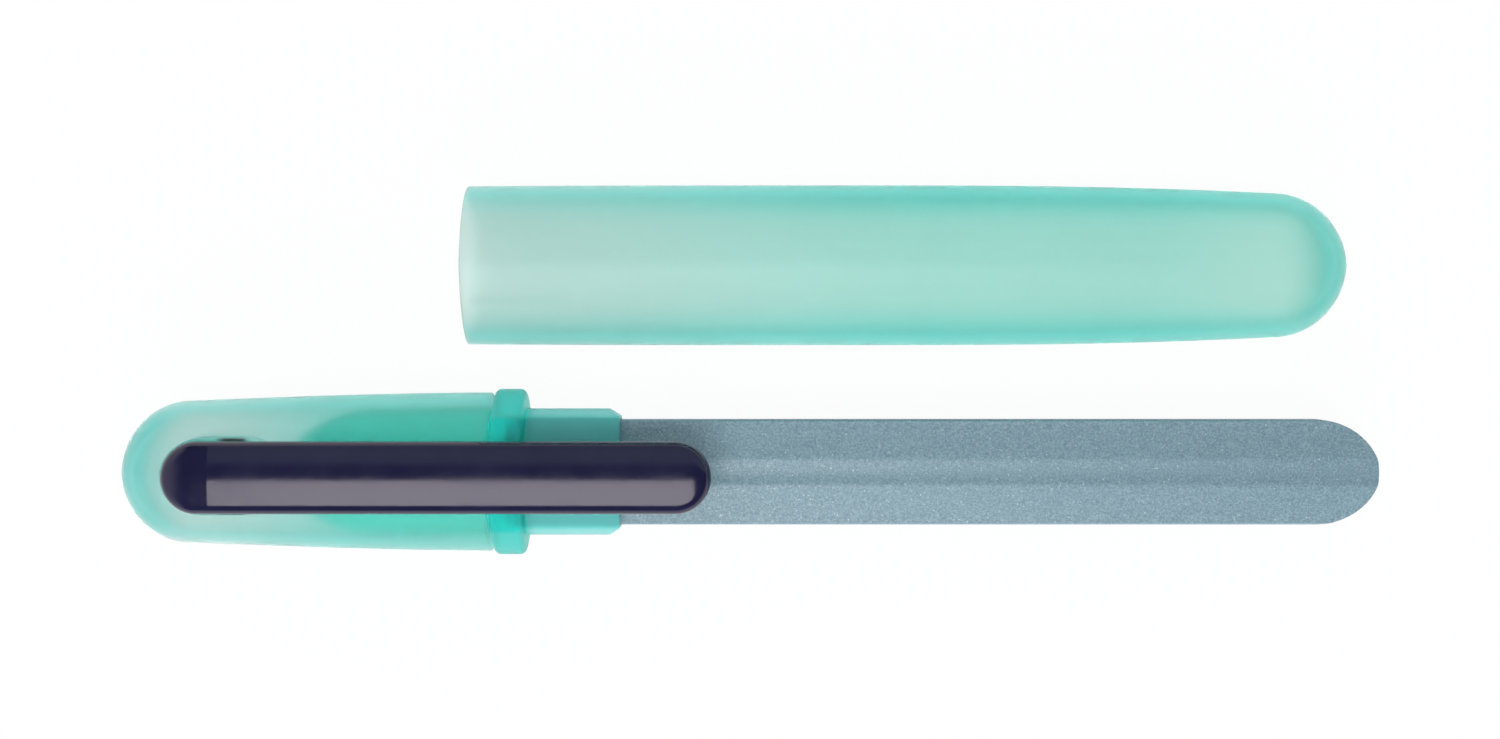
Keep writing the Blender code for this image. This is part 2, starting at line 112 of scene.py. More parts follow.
def finishMesh(name, bm, matrix, material):
    bmesh.ops.remove_doubles(bm, verts=bm.verts, dist=meshing["merge"])
    bmesh.ops.recalc_face_normals(bm, faces=bm.faces)
    bmesh.ops.transform(bm, matrix=matrix, verts=bm.verts)
    mesh = bpy.data.meshes.new(name)
    bm.to_mesh(mesh)
    bm.free()
    smoothFaces(mesh, meshing["sharpAngle"])
    if material:
        mesh.materials.append(material)
    return addObject(name, mesh)


def carve(piece, steps):
    # joins or cuts other closed forms, and leaves a plain mesh without slivers
    for tool, operation in steps:
        cut = piece.modifiers.new(operation.lower(), "BOOLEAN")
        cut.object, cut.operation, cut.solver = tool, operation, "EXACT"
    bpy.context.view_layer.update()
    mesh = bpy.data.meshes.new_from_object(piece.evaluated_get(bpy.context.evaluated_depsgraph_get()))
    piece.modifiers.clear()
    piece.data = mesh
    bm = bmesh.new()
    bm.from_mesh(mesh)
    bmesh.ops.dissolve_degenerate(bm, dist=meshing["merge"], edges=bm.edges)
    bm.to_mesh(mesh)
    bm.free()
    smoothFaces(mesh, meshing["sharpAngle"])
    for tool, _ in steps:
        bpy.data.objects.remove(tool)


def dress(piece, body, node):
    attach(piece, body)
    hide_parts(node)


# The lens section that handle, collar, neck and cap share

lens = dict(power=1.7, sides=144)


def lensLoop(bm):
    circle = bmesh.ops.create_circle(bm, segments=lens["sides"], radius=1.0)["verts"]
    share = 2 / lens["power"]
    for vert in circle:
        across, up = vert.co.x, vert.co.y
        vert.co = (0.0, math.copysign(abs(across) ** share, across), math.copysign(abs(up) ** share, up))
    return list(dict.fromkeys(edge for vert in circle for edge in vert.link_edges))


def loft(bm, stations):
    # carries the lens through stations of distance, half width and half thickness
    first = loop = lensLoop(bm)
    before = (0.0, 1.0, 1.0)
    for number, station in enumerate(stations):
        if number:
            loop = growLoop(bm, loop)
        verts = vertsOf(loop)
        bmesh.ops.scale(bm, vec=(1.0, station[1] / before[1], station[2] / before[2]), verts=verts)
        bmesh.ops.translate(bm, vec=(station[0] - before[0], 0.0, 0.0), verts=verts)
        before = station
    return first, loop


def noseStations(tip, shoulder, halfSizes, steps):
    # a round nose, with loops close together at its tip
    stations = []
    for i in range(1, steps + 1):
        turn = math.pi / 2 * i / steps
        distance = tip + (shoulder - tip) * (1 - math.cos(turn))
        stations.append((distance, *[size * math.sin(turn) for size in halfSizes]))
    return stations


def sleeveHalfSizes(form, distance, inset):
    # outer form of a closed sleeve past its nose, less an inset
    sizes = form["waist"]
    if distance < form["waistStart"]:
        lean = ((form["waistStart"] - distance) / (form["waistStart"] - form["nose"])) ** form["bow"]
        sizes = [wide - (wide - narrow) * lean for wide, narrow in zip(form["waist"], form["shoulder"])]
    elif distance > form["waistEnd"]:
        lean = ((distance - form["waistEnd"]) / (form["length"] - form["waistEnd"])) ** form["flare"]
        sizes = [wide - (wide - narrow) * lean for wide, narrow in zip(form["waist"], form["mouth"])]
    return [size / 2 - inset for size in sizes]


def sleeveStations(form):
    # over the outside from the tip to the mouth, round the lip, and back along the inside
    nose, length, wall, lip = form["nose"], form["length"], form["wall"], form["lip"]
    spans = [nose + (length - lip - nose) * i / form["runSteps"] for i in range(1, form["runSteps"] + 1)]
    shoulder = [size / 2 for size in form["shoulder"]]
    stations = noseStations(0.0, nose, shoulder, form["noseSteps"])
    stations += [(distance, *sleeveHalfSizes(form, distance, 0.0)) for distance in spans]
    for i in range(1, form["lipSteps"] + 1):
        turn = math.pi / 2 * i / form["lipSteps"]
        fall = lip * (1 - math.cos(turn))
        stations.append((length - lip + lip * math.sin(turn), *sleeveHalfSizes(form, length, fall)))
    for i in range(form["lipSteps"] + 1):
        turn = math.pi / 2 * (1 - i / form["lipSteps"])
        fall = wall - lip * (1 - math.cos(turn))
        stations.append((length - lip + lip * math.sin(turn), *sleeveHalfSizes(form, length, fall)))
    stations += [(distance, *sleeveHalfSizes(form, distance, wall)) for distance in reversed(spans[:-1])]
    inner = noseStations(form["endWall"], nose, [size - wall for size in shoulder], form["noseSteps"])
    return stations + list(reversed(inner))


def buildSleeve(name, form, matrix, material):
    bm = bmesh.new()
    first, last = loft(bm, sleeveStations(form))
    closeLoop(bm, first, Vector((0.0, 0.0, 0.0)))
    closeLoop(bm, last, Vector((form["endWall"], 0.0, 0.0)))
    return finishMesh(name, bm, matrix, material)


def block(name, low, high, edge=0.0):
    # a box between two corners in the file's frame, with round edges where asked
    bm = bmesh.new()
    bmesh.ops.create_cube(bm, size=1.0)
    bmesh.ops.scale(bm, vec=[b - a for a, b in zip(low, high)], verts=bm.verts)
    bmesh.ops.translate(bm, vec=[(a + b) / 2 for a, b in zip(low, high)], verts=bm.verts)
    if edge:
        roundEdges(bm, bm.edges, edge, meshing["edgeSteps"])
    return finishMesh(name, bm, fileFrame, None)


# Materials

def addNode(tree, kind, inputs=None, **settings):
    node = tree.nodes.new("ShaderNode" + kind)
    for key, value in settings.items():
        setattr(node, key, value)
    for key, value in (inputs or {}).items():
        if isinstance(value, bpy.types.NodeSocket):
            tree.links.new(value, node.inputs[key])
        else:
            node.inputs[key].default_value = value
    return node


def addMath(tree, operation, first, second=0.0, third=0.0, clamp=False):
    inputs = {0: first, 1: second, 2: third}
    return addNode(tree, "Math", inputs, operation=operation, use_clamp=clamp).outputs[0]


def addRange(tree, value, low, high, newLow=0.0, newHigh=1.0, smooth=True):
    inputs = {"Value": value, "From Min": low, "From Max": high, "To Min": newLow, "To Max": newHigh}
    kind = "SMOOTHSTEP" if smooth else "LINEAR"
    return addNode(tree, "MapRange", inputs, interpolation_type=kind).outputs["Result"]


def addMix(tree, share, first, second):
    node = addNode(tree, "Mix", data_type="RGBA", clamp_factor=True)
    sockets = [node.inputs["Factor"], *[socket for socket in node.inputs if socket.type == "RGBA"]]
    for socket, value in zip(sockets, (share, first, second)):
        if isinstance(value, bpy.types.NodeSocket):
            tree.links.new(value, socket)
        elif socket.type == "RGBA":
            socket.default_value = (*value, 1.0)
        else:
            socket.default_value = value
    return next(socket for socket in node.outputs if socket.type == "RGBA")


def newGroup(name, inputs, outputs):
    tree = bpy.data.node_groups.new(name, "ShaderNodeTree")
    for label in inputs:
        kind = "NodeSocketVector" if label == "Vector" else "NodeSocketFloat"
        tree.interface.new_socket(label, in_out="INPUT", socket_type=kind)
    for label in outputs:
        tree.interface.new_socket(label, in_out="OUTPUT", socket_type="NodeSocketFloat")
    return tree, tree.nodes.new("NodeGroupInput").outputs, tree.nodes.new("NodeGroupOutput").inputs


# Low and high are the values between which nearly all of a noise lies
patterns = dict(
    low=0.3, high=0.7, grainRoughness=0.6, cellDepth=0.6, speckSharpness=8.0, streakDetail=3.0,
    streakRoughness=0.55,
)


def buildGrainGroup():
    # uneven tone and a fine relief, with a size in metres
    tree, given, out = newGroup("fineGrain", ["Vector", "Size", "Detail"], ["Tone", "Relief"])
    scale = addMath(tree, "DIVIDE", 1.0, given["Size"])
    place = {"Vector": given["Vector"], "Scale": scale}
    noise = {**place, "Detail": given["Detail"], "Roughness": patterns["grainRoughness"]}
    tone = addNode(tree, "TexNoise", noise).outputs["Fac"]
    cells = addNode(tree, "TexVoronoi", {**place, "Randomness": 1.0}, feature="SMOOTH_F1")
    tree.links.new(addRange(tree, tone, patterns["low"], patterns["high"], smooth=False), out["Tone"])
    relief = addMath(tree, "MULTIPLY_ADD", cells.outputs["Distance"], -patterns["cellDepth"], tone)
    tree.links.new(relief, out["Relief"])
    return tree


def buildSpeckGroup():
    # scattered small specks: dust, grit or sparkles
    inputs = ["Vector", "Size", "Share", "Reach"]
    tree, given, out = newGroup("scatteredSpecks", inputs, ["Mask", "Strength"])
    scale = addMath(tree, "DIVIDE", 1.0, given["Size"])
    cells = addNode(tree, "TexVoronoi", {"Vector": given["Vector"], "Scale": scale, "Randomness": 1.0})
    chance = addNode(tree, "SeparateColor", {"Color": cells.outputs["Color"]})
    picked = addMath(tree, "LESS_THAN", chance.outputs["Red"], given["Share"])
    edge = addMath(tree, "SUBTRACT", given["Reach"], cells.outputs["Distance"])
    spot = addMath(tree, "MULTIPLY", edge, patterns["speckSharpness"], clamp=True)
    mask = addMath(tree, "MULTIPLY", picked, spot)
    tree.links.new(mask, out["Mask"])
    tree.links.new(addMath(tree, "MULTIPLY", mask, chance.outputs["Green"]), out["Strength"])
    return tree


def buildDrawGroup():
    # faint streaks along the file, left as the moulding was drawn off its core
    tree, given, out = newGroup("drawLines", ["Vector", "Width", "Length"], ["Tone"])
    scales = addNode(tree, "CombineXYZ", {
        "X": addMath(tree, "DIVIDE", 1.0, given["Length"]),
        "Y": addMath(tree, "DIVIDE", 1.0, given["Width"]),
        "Z": addMath(tree, "DIVIDE", 1.0, given["Width"]),
    })
    place = addNode(tree, "VectorMath", {0: given["Vector"], 1: scales.outputs[0]}, operation="MULTIPLY")
    streaks = addNode(tree, "TexNoise", {
        "Vector": place.outputs[0], "Scale": 1.0, "Detail": patterns["streakDetail"],
        "Roughness": patterns["streakRoughness"],
    }).outputs["Fac"]
    tree.links.new(addRange(tree, streaks, patterns["low"], patterns["high"], smooth=False), out["Tone"])
    return tree


fineGrain, scatteredSpecks, drawLines = buildGrainGroup(), buildSpeckGroup(), buildDrawGroup()


def addGrain(tree, place, size, detail):
    inputs = {"Vector": place, "Size": size, "Detail": detail}
    return addNode(tree, "Group", inputs, node_tree=fineGrain).outputs


def addSpecks(tree, place, specks):
    inputs = {"Vector": place, "Size": specks["size"], "Share": specks["share"], "Reach": specks["reach"]}
    return addNode(tree, "Group", inputs, node_tree=scatteredSpecks).outputs


def addLines(tree, place, width, length):
    inputs = {"Vector": place, "Width": width, "Length": length}
    return addNode(tree, "Group", inputs, node_tree=drawLines).outputs["Tone"]


def coverWithDust(tree, dust, specks, color):
    share = addMath(tree, "MULTIPLY", specks["Strength"], dust["cover"])
    return addMix(tree, share, color, dust["color"])


def newMaterial(name):
    material = bpy.data.materials.new(name)
    material.use_nodes = True
    return material, material.node_tree, material.node_tree.nodes["Principled BSDF"]


def centredPlace(tree, origin, turn=0.0):
    # object coordinates counted from a sleeve's round end
    place = addNode(tree, "TexCoord").outputs["Object"]
    turned = Matrix.Rotation(turn, 4, "Z") @ -origin
    inputs = {"Vector": place, "Location": turned, "Rotation": (0.0, 0.0, turn)}
    return addNode(tree, "Mapping", inputs).outputs[0]


def addBump(tree, shader, height, distance):
    bump = addNode(tree, "Bump", {"Height": height, "Distance": distance, "Strength": 1.0})
    tree.links.new(bump.outputs["Normal"], shader.inputs["Normal"])


# What the three frosted mouldings have in common
frosting = dict(
    cloudDetail=3.0, frostDetail=2.0, lineDepth=0.8,
    dust=dict(size=2.6 * mm, share=0.06, reach=0.05, cover=0.5, color=(0.9, 0.95, 0.93)),
)


def frostedPlastic(name, look, origin, turn=0.0, bandsAndShade=()):
    # translucent moulding: zones of tone along it, paler or deeper sides, and bands over thick plastic or of
    # painted shade
    material, tree, shader = newMaterial(name)
    place = centredPlace(tree, origin, turn)
    axes = addNode(tree, "SeparateXYZ", {"Vector": place}).outputs
    side = addRange(tree, addMath(tree, "ABSOLUTE", axes["Y"]), look["sideStart"], look["sideEnd"])
    cloud = addGrain(tree, place, look["cloudSize"], frosting["cloudDetail"])["Tone"]
    frost = addGrain(tree, place, look["frostSize"], frosting["frostDetail"])["Relief"]
    lines = addLines(tree, place, look["lineWidth"], look["lineLength"])
    specks = addSpecks(tree, place, frosting["dust"])
    middle, edge = look["zones"][0]["middle"], look["zones"][0]["side"]
    for zone in look["zones"][1:]:
        share = addRange(tree, axes["X"], zone["start"], zone["full"])
        middle = addMix(tree, share, middle, zone["middle"])
        edge = addMix(tree, share, edge, zone["side"])
    color = addMix(tree, side, middle, edge)
    for band, tone in bandsAndShade:
        color = addMix(tree, band(tree, axes), color, tone)
    tones = addMath(tree, "ADD", cloud, lines)
    tinted = addMix(tree, addMath(tree, "MULTIPLY", tones, look["unevenness"]), color, look["uneven"])
    dusty = coverWithDust(tree, frosting["dust"], specks, tinted)
    tree.links.new(dusty, shader.inputs["Base Color"])
    low, high = look["roughness"]
    tree.links.new(addRange(tree, cloud, 0.0, 1.0, low, high), shader.inputs["Roughness"])
    shader.inputs["Transmission Weight"].default_value = look["transmission"]
    shader.inputs["IOR"].default_value = look["ior"]
    shader.inputs["Coat Weight"].default_value = look["sheen"]
    shader.inputs["Coat Roughness"].default_value = look["sheenRoughness"]
    shader.inputs["Sheen Weight"].default_value = look["fuzz"]
    relief = addMath(tree, "MULTIPLY_ADD", lines, frosting["lineDepth"], frost)
    addBump(tree, shader, relief, look["relief"])
    absorption = {"Color": (*look["through"], 1.0), "Density": look["density"]}
    volume = addNode(tree, "VolumeAbsorption", absorption)
    tree.links.new(volume.outputs[0], tree.nodes["Material Output"].inputs["Volume"])
    return material


# Inner and outer are squared shares of the nose's outline, and fade is in shares of its length
endBand = dict(innerStart=0.46, innerFull=0.62, outerStart=1.0, outerFull=0.8, fadeStart=0.15, fadeFull=0.55)


def noseBand(form):
    # the end wall is thick, so a deeper band runs round inside a sleeve's nose
    def mask(tree, axes):
        depth = addMath(tree, "SUBTRACT", form["nose"], axes["X"])
        behind = addMath(tree, "MAXIMUM", addMath(tree, "MULTIPLY", depth, 1 / form["nose"]), 0.0)
        across = addMath(tree, "MULTIPLY", axes["Y"], 2 / form["shoulder"][0])
        reach = addMath(tree, "MULTIPLY_ADD", behind, behind, addMath(tree, "MULTIPLY", across, across))
        inner = addRange(tree, reach, endBand["innerStart"], endBand["innerFull"])
        outer = addRange(tree, reach, endBand["outerStart"], endBand["outerFull"])
        fade = addRange(tree, behind, endBand["fadeStart"], endBand["fadeFull"])
        return addMath(tree, "MULTIPLY", fade, addMath(tree, "MULTIPLY", inner, outer))
    return mask


# Handle

# A pair is a width and a thickness; the handle widens all the way, so its waist is at its mouth
handleLength = handleHigh.x - handleLow.x
handle = dict(
    length=handleLength, nose=7.6 * mm, waistStart=handleLength, waistEnd=handleLength,
    shoulder=(15.85 * mm, 10.2 * mm), waist=(17.7 * mm, 11.4 * mm), bow=1.6, wall=1.5 * mm,
    endWall=2.4 * mm, lip=0.2 * mm, noseSteps=28, runSteps=40, lipSteps=4,
)
seat = dict(
    start=6.3 * mm, end=18.4 * mm, width=8.3 * mm, tail=4.6 * mm, top=6.35 * mm, root=4.1 * mm,
    edge=0.35 * mm, squareness=4.0, sides=96, edgeSteps=5, rimShadeReach=0.35 * mm, rimShadeCore=0.1167 * mm,
)
socket = dict(start=8.7 * mm, end=16.3 * mm, width=6.0 * mm, floor=4.55 * mm)
window = dict(start=12.6 * mm, end=15.5 * mm, low=4.85 * mm, high=5.85 * mm)
# The rim colour is painted shade along the outline of the clip's seat
handleLook = dict(
    zones=[
        dict(middle=(0.98, 0.83, 0.82), side=(0.98, 0.82, 0.81)),
        dict(start=8.0 * mm, full=28.0 * mm, middle=(0.70, 0.83, 0.80), side=(0.65, 0.80, 0.77)),
    ],
    uneven=(0.95, 0.94, 0.92), rim=(0.25, 0.48, 0.46), band=(0.52, 0.69, 0.67), sideStart=4.0 * mm,
    sideEnd=8.7 * mm, through=(0.0, 0.87, 0.833), density=260.0, fuzz=0.10, transmission=0.95,
    roughness=(0.70, 0.76), ior=1.17, sheen=0.6, sheenRoughness=0.45, cloudSize=9.0 * mm,
    frostSize=0.35 * mm, lineWidth=1.6 * mm, lineLength=40.0 * mm, unevenness=0.15, relief=0.006 * mm,
)


def seatRimShade(tree, axes):
    # painted shade for the shaded gap under the clip, with the deeper tone of the thick plastic, in a band
    # along the outline of the clip's seat
    half, tailEnd = seat["width"] / 2, seat["start"] + seat["tail"]
    behind = addMath(tree, "MAXIMUM", addMath(tree, "SUBTRACT", tailEnd, axes["X"]), 0.0)
    behind = addMath(tree, "MULTIPLY", behind, half / seat["tail"])
    ahead = addMath(tree, "MAXIMUM", addMath(tree, "SUBTRACT", axes["X"], seat["end"] - half), 0.0)
    along = addMath(tree, "ADD", behind, ahead)
    across = addMath(tree, "MULTIPLY", axes["Y"], axes["Y"])
    reach = addMath(tree, "SQRT", addMath(tree, "MULTIPLY_ADD", along, along, across))
    away = addMath(tree, "ABSOLUTE", addMath(tree, "SUBTRACT", reach, half - seat["edge"] / 2))
    band = addRange(tree, away, seat["rimShadeReach"], seat["rimShadeCore"])
    return addMath(tree, "MULTIPLY", band, addMath(tree, "GREATER_THAN", axes["Z"], 0.0))


def seatForm():
    # from above: a long round tail, and a front end with round corners
    bm = bmesh.new()
    circle = bmesh.ops.create_circle(bm, cap_ends=True, segments=seat["sides"], radius=1.0)["verts"]
    half = seat["width"] / 2
    for vert in circle:
        along, across = vert.co.x, vert.co.y
        if along > 0:
            share = 2 / seat["squareness"]
            along, across = along ** share, math.copysign(abs(across) ** share, across)
            x = seat["end"] - half + half * along
        else:
            x = seat["start"] + seat["tail"] * (1 + along)
        vert.co = (x, half * across, seat["top"])
    grown = bmesh.ops.extrude_face_region(bm, geom=bm.faces[:])["geom"]
    bmesh.ops.translate(bm, vec=(0.0, 0.0, seat["root"] - seat["top"]), verts=pointsOf(grown))
    middle = (seat["root"] + seat["top"]) / 2
    rim = [edge for edge in bm.edges if all(vert.co.z > middle for vert in edge.verts)]
    roundEdges(bm, rim, seat["edge"], seat["edgeSteps"])
    return finishMesh("seat_form", bm, fileFrame, None)


def buildHandle(material):
    piece = buildSleeve("handle_body", handle, fileFrame, material)
    socketHalf, windowHalf = socket["width"] / 2, seat["width"]        # the window cuts right through
    steps = [
        (seatForm(), "UNION"),
        (block("socket_form", (socket["start"], -socketHalf, socket["floor"]),
               (socket["end"], socketHalf, seat["top"] + meshing["overrun"])), "DIFFERENCE"),
        (block("window_form", (window["start"], -windowHalf, window["low"]),
               (window["end"], windowHalf, window["high"])), "DIFFERENCE"),
    ]
    carve(piece, steps)
    dress(piece, "handle", "handle_shell")


# Neck insert

insert = dict(
    plugStart=18.3 * mm, plugShoulder=28.7 * mm, inset=1.8 * mm, collarStart=41.6 * mm, collarEnd=45.1 * mm,
    collar=(18.5 * mm, 12.6 * mm), collarEdge=0.7 * mm, neckEnd=55.6 * mm, neck=(14.13 * mm, 7.8 * mm),
    chamferLength=1.25 * mm, chamferDepth=0.9 * mm, endEdge=0.15 * mm, noseSteps=24, plugSteps=10,
    edgeSteps=6, endSteps=3,
)
slotForm = dict(gap=0.15 * mm, depth=12.6 * mm)
insertLook = dict(
    zones=[
        dict(middle=(0.005, 0.90, 0.80), side=(0.08, 0.87, 0.79)),
        dict(start=41.2 * mm, full=41.6 * mm, middle=(0.005, 0.72, 0.64), side=(0.16, 0.71, 0.65)),
        dict(start=45.1 * mm, full=45.4 * mm, middle=(0.22, 0.70, 0.68), side=(0.46, 0.84, 0.82)),
    ],
    uneven=(0.06, 0.80, 0.72), sideStart=5.9 * mm, sideEnd=6.6 * mm, through=(0.0, 0.90, 0.88),
    density=150.0, transmission=0.65, fuzz=0.0, roughness=(0.40, 0.46), ior=1.12, sheen=0.6,
    sheenRoughness=0.4, cloudSize=7.0 * mm, frostSize=0.3 * mm, lineWidth=1.2 * mm,
    lineLength=30.0 * mm, unevenness=0.12, relief=0.005 * mm,
)


def insertStations():
    shoulder = sleeveHalfSizes(handle, insert["plugShoulder"], insert["inset"])
    stations = noseStations(insert["plugStart"], insert["plugShoulder"], shoulder, insert["noseSteps"])
    plugRun = handle["length"] - insert["plugShoulder"]
    for i in range(1, insert["plugSteps"] + 1):
        distance = insert["plugShoulder"] + plugRun * i / insert["plugSteps"]
        stations.append((distance, *sleeveHalfSizes(handle, distance, insert["inset"])))
    stations.append((insert["collarStart"], *sleeveHalfSizes(handle, handle["length"], insert["inset"])))
    radius, rounding = insert["collarEdge"], []
    for i in range(insert["edgeSteps"] + 1):
        turn = math.pi / 2 * i / insert["edgeSteps"]
        rounding.append((radius * (1 - math.cos(turn)), radius * (1 - math.sin(turn))))
    for along, fall in rounding:
        stations.append((insert["collarStart"] + along, *[size / 2 - fall for size in insert["collar"]]))
    for along, fall in reversed(rounding):
        stations.append((insert["collarEnd"] - along, *[size / 2 - fall for size in insert["collar"]]))
    neck = [size / 2 for size in insert["neck"]]
    stations.append((insert["collarEnd"], *neck))
    stations.append((insert["neckEnd"] - insert["chamferLength"], *neck))
    edge = insert["endEdge"]
    for i in range(insert["endSteps"] + 1):
        turn = math.pi / 2 * i / insert["endSteps"]
        distance, fall = insert["neckEnd"] - edge * (1 - math.sin(turn)), edge * (1 - math.cos(turn))
        stations.append((distance, *[size - fall for size in neck]))
    return stations


def buildInsert(material):
    bm = bmesh.new()
    first, last = loft(bm, insertStations())
    closeLoop(bm, first, Vector((insert["plugStart"], 0.0, 0.0)))
    closeLoop(bm, last)
    chamferStart = insert["neckEnd"] - insert["chamferLength"]
    for side in (-1, 1):
        corner = Vector((chamferStart, side * insert["neck"][0] / 2, 0.0))
        slope = Vector((insert["chamferDepth"], side * insert["chamferLength"], 0.0)).normalized()
        closeLoop(bm, cutAcross(bm, corner, slope))
    piece = finishMesh("neck_moulding", bm, fileFrame, material)
    slotStart = insert["neckEnd"] - slotForm["depth"] - slotForm["gap"]
    tool = bladeBar("slot_form", slotForm["gap"], slotStart, insert["neckEnd"] + meshing["overrun"])
    carve(piece, [(tool, "DIFFERENCE")])
    dress(piece, "handle", "neck_insert")


# Blade

blade = dict(
    width=11.7 * mm, rim=3.0 * mm, edge=1.8 * mm, bevel=0.2 * mm, hollow=1.6, groove=2.7 * mm,
    depth=0.23 * mm, blend=0.08 * mm, sectionSteps=64, start=43.0 * mm, end=140.0 * mm, tip=7.0 * mm,
    corner=1.0 * mm, rimRadius=0.15 * mm, rimSteps=3, tipSides=96, flatAngle=1.0, rimAngle=60.0,
    sharpAngle=25.0,
)
bladeLook = dict(
    dark=(0.104, 0.190, 0.230), light=(0.268, 0.392, 0.445), sparkle=(0.85, 0.93, 0.95),
    grainSize=0.22 * mm, grainDetail=4.0, mottleSize=1.6 * mm, mottleDetail=3.0, mottle=0.12,
    pits=dict(size=0.27 * mm, share=0.30, reach=0.45), pitDepth=0.6,
    grits=dict(size=0.25 * mm, share=0.22, reach=0.40), glint=0.45, glintRarity=3.0,
    channelTone=0.10, channelBlend=0.2 * mm, roughness=0.50, gritRoughness=0.3, ior=1.7, relief=0.02 * mm,
)


def ceramicMaterial():
    # sintered abrasive: tight grain, lighter and darker grits, a few that catch the light
    material, tree, shader = newMaterial("blade_ceramic")
    look = bladeLook
    place = centredPlace(tree, fileAxis)
    grain = addGrain(tree, place, look["grainSize"], look["grainDetail"])
    mottle = addGrain(tree, place, look["mottleSize"], look["mottleDetail"])["Tone"]
    pits = addSpecks(tree, place, look["pits"])["Strength"]
    grits = addSpecks(tree, place, look["grits"])
    toned = addMix(tree, grain["Tone"], look["dark"], look["light"])
    across = addMath(tree, "ABSOLUTE", addNode(tree, "SeparateXYZ", {"Vector": place}).outputs["Y"])
    rim, blend = blade["groove"] / 2, look["channelBlend"]
    channel = addRange(tree, across, rim + blend, rim - blend, 0.0, look["channelTone"])
    deeper = addMath(tree, "MULTIPLY_ADD", mottle, look["mottle"], channel)
    patchy = addMix(tree, deeper, toned, look["dark"])
    pitted = addMix(tree, addMath(tree, "MULTIPLY", pits, look["pitDepth"]), patchy, look["dark"])
    rare = addMath(tree, "POWER", grits["Strength"], look["glintRarity"])
    lit = addMix(tree, addMath(tree, "MULTIPLY", rare, look["glint"]), pitted, look["sparkle"])
    tree.links.new(lit, shader.inputs["Base Color"])
    rough = addRange(tree, grits["Mask"], 0.0, 1.0, look["roughness"], look["gritRoughness"])
    tree.links.new(rough, shader.inputs["Roughness"])
    shader.inputs["IOR"].default_value = look["ior"]
    addBump(tree, shader, grain["Relief"], look["relief"])
    return material


def faceHeight(across):
    # the hollow-ground face and the round channel, blended over a soft rim
    channel, outer = blade["groove"] / 2, blade["width"] / 2 - blade["bevel"]
    edge, rim, blend = blade["edge"] / 2, blade["rim"] / 2, blade["blend"]
    ground = edge + (rim - edge) * ((outer - abs(across)) / (outer - channel)) ** blade["hollow"]
    hollow = rim - blade["depth"] * (1 - (across / channel) ** 2)
    soft = blend * (math.log(2) - math.log(math.exp(-ground / blend) + math.exp(-hollow / blend)))
    return max(edge, soft)


def upperSection(grow):
    # the section's upper half, or the plainer slot that clears it all round
    half, edge, rim = blade["width"] / 2 + grow, blade["edge"] / 2 + grow, blade["rim"] / 2 + grow
    channel, outer, side = blade["groove"] / 2, half - blade["bevel"], edge - blade["bevel"]
    if grow:
        return [(half, side), (outer, edge), (channel, rim), (-channel, rim), (-outer, edge), (-half, side)]
    steps = blade["sectionSteps"]
    face = [outer * (1 - 2 * i / steps) for i in range(steps + 1)]
    return [(half, side), *[(y, faceHeight(y)) for y in face], (-half, side)]


def bladeBar(name, grow, start, end):
    # the blade's section, drawn out along the file
    upper = upperSection(grow)
    bm = bmesh.new()
    verts = [bm.verts.new((start, y, z)) for y, z in upper + [(-y, -z) for y, z in upper]]
    grown = bmesh.ops.extrude_face_region(bm, geom=[bm.faces.new(verts)])["geom"]
    bmesh.ops.translate(bm, vec=(end - start, 0.0, 0.0), verts=pointsOf(grown))
    return finishMesh(name, bm, fileFrame, None)


def outlineForm():
    # the blade from above: a tang with cut corners and an elliptic tip
    bm = bmesh.new()
    circle = bmesh.ops.create_circle(bm, cap_ends=True, segments=blade["tipSides"], radius=1.0)["verts"]
    half, straightEnd = blade["width"] / 2, blade["end"] - blade["tip"]
    for vert in circle:
        if round(vert.co.x, 3) >= 0:
            vert.co = (straightEnd + blade["tip"] * max(0.0, vert.co.x), half * vert.co.y, -blade["rim"])
        else:
            vert.co = (blade["start"], half * vert.co.y, -blade["rim"])
    for side in (-1, 1):
        corner = Vector((blade["start"] + blade["corner"], side * half, 0.0))
        cutAcross(bm, corner, Vector((-1.0, side, 0.0)).normalized())
    grown = bmesh.ops.extrude_face_region(bm, geom=bm.faces[:])["geom"]
    bmesh.ops.translate(bm, vec=(0.0, 0.0, 2 * blade["rim"]), verts=pointsOf(grown))
    return finishMesh("outline_form", bm, fileFrame, None)


def buildBlade(material):
    overrun = meshing["overrun"]
    piece = bladeBar("ceramic_blade", 0.0, blade["start"] - overrun, blade["end"] + overrun)
    piece.data.materials.append(material)
    carve(piece, [(outlineForm(), "INTERSECT")])
    bm = bmesh.new()
    bm.from_mesh(piece.data)
    flat, corner = math.radians(blade["flatAngle"]), math.radians(blade["rimAngle"])
    bmesh.ops.dissolve_limit(bm, angle_limit=flat, verts=bm.verts, edges=bm.edges)
    rims = [edge for edge in bm.edges if edge.is_manifold and edge.calc_face_angle() > corner]
    roundEdges(bm, rims, blade["rimRadius"], blade["rimSteps"])
    bmesh.ops.dissolve_degenerate(bm, dist=meshing["merge"], edges=bm.edges)
    bmesh.ops.triangulate(bm, faces=bm.faces)
    bm.to_mesh(piece.data)
    bm.free()
    smoothFaces(piece.data, blade["sharpAngle"])
    dress(piece, "handle", "file_blade")


# Clip

